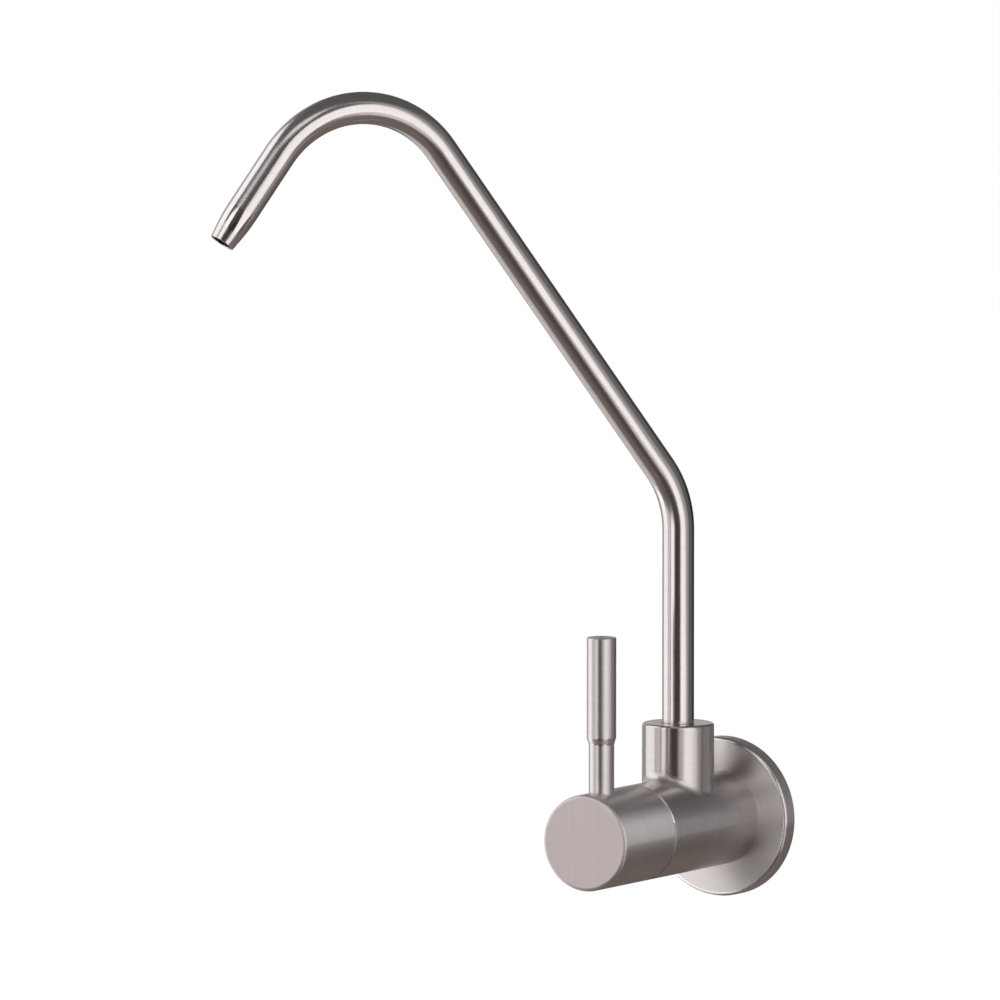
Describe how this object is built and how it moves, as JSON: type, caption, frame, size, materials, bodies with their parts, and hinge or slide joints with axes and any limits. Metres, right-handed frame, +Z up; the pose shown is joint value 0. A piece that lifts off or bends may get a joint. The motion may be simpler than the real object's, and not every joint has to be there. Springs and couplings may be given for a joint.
{
  "type": "wall-mounted drinking water tap",
  "caption": "Wall-mounted cold water tap in satin steel: round flange, horizontal barrel with quarter-turn pin lever, and a slim bent spout that swivels in an upright boss.",
  "frame": {"origin": "centre of the inlet thread in the wall plane, on the barrel's axis", "axes": "+Y into the wall along the inlet thread, -Y to the user along the barrel, +Z up, +X to the user's right"},
  "size_m": [0.1399, 0.2057, 0.3088],
  "materials": {
    "satin_steel": "fine satin brush round the turned faces",
    "satin_tube": "fine satin brush round the tube",
    "plain_steel": "as turned",
    "screw_steel": "plain stainless",
    "brass": "as turned",
    "ceramic": "lapped alumina",
    "nylon": "natural",
    "black_rubber": "matt"
  },
  "bodies": {
    "tap_body": {"wall_flange": "satin_steel", "valve_body": "satin_steel", "inlet_shank": "plain_steel", "shank_washer": "black_rubber", "cartridge_housing": "brass", "seat_seal": "black_rubber", "cartridge_o_ring": "black_rubber", "fixed_disc": "ceramic", "thrust_washer": "nylon", "spout_lock_screw": "screw_steel"},
    "handle": {"handle_barrel": "satin_steel", "lever_pin": "satin_steel", "handle_grub_screw": "screw_steel", "spindle": "brass", "spindle_o_rings": "black_rubber", "spindle_circlip": "screw_steel", "moving_disc": "ceramic"},
    "spout": {"spout_tube": "satin_tube", "spout_spigot": "brass", "spout_o_rings": "black_rubber", "spout_glide_ring": "nylon"}
  },
  "joints": [
    {"name": "handle_turn", "type": "hinge", "parent": "tap_body", "child": "handle", "pos_m": [0, -0.084, 0], "axis": [0, -1, 0], "range_deg": [0, 90]},
    {"name": "spout_swivel", "type": "hinge", "parent": "tap_body", "child": "spout", "pos_m": [0, -0.035, 0.022], "axis": [0, 0, 1], "range_deg": [-60, 130]}
  ]
}
